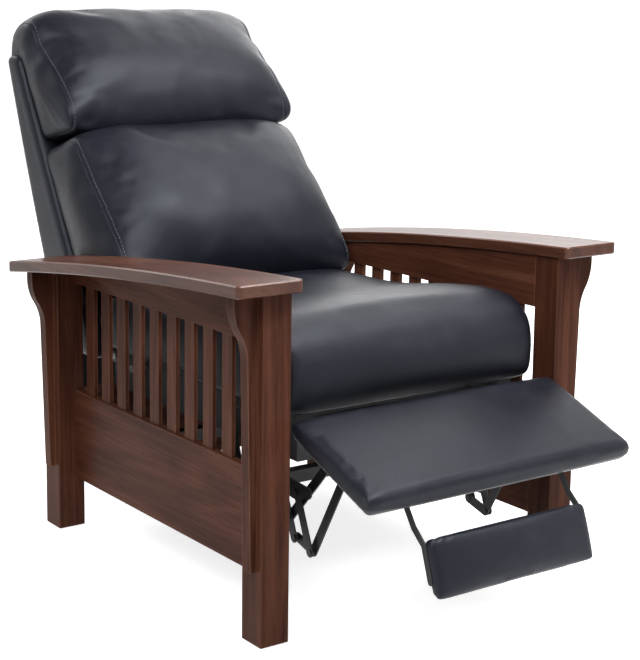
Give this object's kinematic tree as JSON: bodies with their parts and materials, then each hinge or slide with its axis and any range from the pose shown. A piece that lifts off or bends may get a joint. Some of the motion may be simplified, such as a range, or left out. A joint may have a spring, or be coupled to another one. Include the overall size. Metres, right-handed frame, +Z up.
{
  "type": "mission reclining armchair",
  "caption": "Mission reclining armchair with bow arms, slatted sides, corbels, dark leather cushions and a fold-out footrest on a steel linkage.",
  "frame": {"origin": "on the floor, under the middle of the whole chair as pictured", "axes": "+Z up; -Y is the front of the chair, where the footrest comes out; +X is the side on the right as seen from the front"},
  "size_m": [0.852, 1.3713, 1.0454],
  "materials": {
    "show_wood": "satin dark brown stain and lacquer",
    "inner_wood": "unfinished",
    "leather": "semi-gloss dark navy",
    "black_steel": "black enamel",
    "zinc": "zinc plated",
    "nylon": "matte",
    "webbing": "woven"
  },
  "bodies": {
    "frame": {"left_front_post": "show_wood", "right_front_post": "show_wood", "left_rear_post": "show_wood", "right_rear_post": "show_wood", "left_arm": "show_wood", "right_arm": "show_wood", "left_apron": "show_wood", "right_apron": "show_wood", "left_side_panel": "show_wood", "right_side_panel": "show_wood", "left_slats": "show_wood", "right_slats": "show_wood", "left_front_corbel": "show_wood", "right_front_corbel": "show_wood", "left_rear_corbel": "show_wood", "right_rear_corbel": "show_wood", "rear_rail": "show_wood", "glides": "nylon", "left_base_rail": "black_steel", "right_base_rail": "black_steel", "front_cross_tube": "black_steel", "rear_cross_tube": "black_steel", "base_screws": "zinc", "base_studs": "black_steel"},
    "front_swing": {"front_swing_links": "black_steel"},
    "rear_swing": {"rear_swing_links": "black_steel"},
    "seat": {"left_seat_rail": "inner_wood", "right_seat_rail": "inner_wood", "front_seat_rail": "inner_wood", "rear_seat_rail": "inner_wood", "seat_webbing": "webbing", "seat_cushion": "leather", "seat_studs": "black_steel", "left_side_plate": "black_steel", "right_side_plate": "black_steel", "plate_rivets": "black_steel", "back_hinge_pins": "black_steel"},
    "back": {"back_frame": "inner_wood", "back_hinge_arms": "black_steel", "back_shell": "leather", "back_skirt": "webbing", "lumbar_pillow": "leather", "headrest_pillow": "leather"},
    "drive": {"drive_links": "black_steel", "drive_link_rivets": "black_steel"},
    "guide": {"guide_links": "black_steel", "guide_link_rivets": "black_steel"},
    "stay": {"stay_links": "black_steel"},
    "carry": {"carry_links": "black_steel", "carry_link_rivets": "black_steel"},
    "footrest": {"footrest_board": "inner_wood", "footrest_pad": "leather", "footrest_brackets": "black_steel", "bracket_rivets": "black_steel"},
    "flipper": {"flipper_board": "inner_wood", "flipper_pad": "leather", "flipper_arms": "black_steel"}
  },
  "joints": [
    {"name": "back_recline", "type": "hinge", "parent": "seat", "child": "back", "pos_m": [0, 0.262, 0.36], "axis": [-1, 0, 0], "range_deg": [0, 22]},
    {"name": "front_swing", "type": "hinge", "parent": "frame", "child": "front_swing", "pos_m": [0, -0.228, 0.264], "axis": [1, 0, 0], "range_deg": [-1, 23]},
    {"name": "seat_swing", "type": "hinge", "parent": "front_swing", "child": "seat", "pos_m": [0, -0.1938, 0.35797], "axis": [-1, 0, 0], "range_deg": [-1, 23]},
    {"name": "rear_swing", "type": "hinge", "parent": "frame", "child": "rear_swing", "pos_m": [0, 0.112, 0.264], "axis": [1, 0, 0], "range_deg": [-1, 23]},
    {"name": "footrest_extension", "type": "hinge", "parent": "seat", "child": "drive", "pos_m": [0, -0.324, 0.222], "axis": [1, 0, 0], "range_deg": [-21, 68]},
    {"name": "guide_turn", "type": "hinge", "parent": "seat", "child": "guide", "pos_m": [0, -0.2757, 0.23494], "axis": [1, 0, 0], "range_deg": [-22, 69]},
    {"name": "carry_turn", "type": "hinge", "parent": "drive", "child": "carry", "pos_m": [0, -0.366, 0.122], "axis": [-1, 0, 0], "range_deg": [-22, 69]},
    {"name": "stay_turn", "type": "hinge", "parent": "guide", "child": "stay", "pos_m": [0, -0.30221, 0.17182], "axis": [-1, 0, 0], "range_deg": [-22, 69]},
    {"name": "footrest_turn", "type": "hinge", "parent": "carry", "child": "footrest", "pos_m": [0, -0.4575, 0.288], "axis": [1, 0, 0], "range_deg": [-22, 69]},
    {"name": "flipper_turn", "type": "hinge", "parent": "footrest", "child": "flipper", "pos_m": [0, -0.57719, 0.27897], "axis": [1, 0, 0], "range_deg": [-44, 138]}
  ],
  "couplings": [
    {"joint": "front_swing", "follows": "back_recline", "ratio": 1},
    {"joint": "seat_swing", "follows": "back_recline", "ratio": 1},
    {"joint": "rear_swing", "follows": "back_recline", "ratio": 1},
    {"joint": "guide_turn", "follows": "footrest_extension", "ratio": 1},
    {"joint": "carry_turn", "follows": "footrest_extension", "ratio": 1},
    {"joint": "stay_turn", "follows": "footrest_extension", "ratio": 1},
    {"joint": "footrest_turn", "follows": "footrest_extension", "ratio": 1},
    {"joint": "flipper_turn", "follows": "footrest_extension", "ratio": 2}
  ]
}
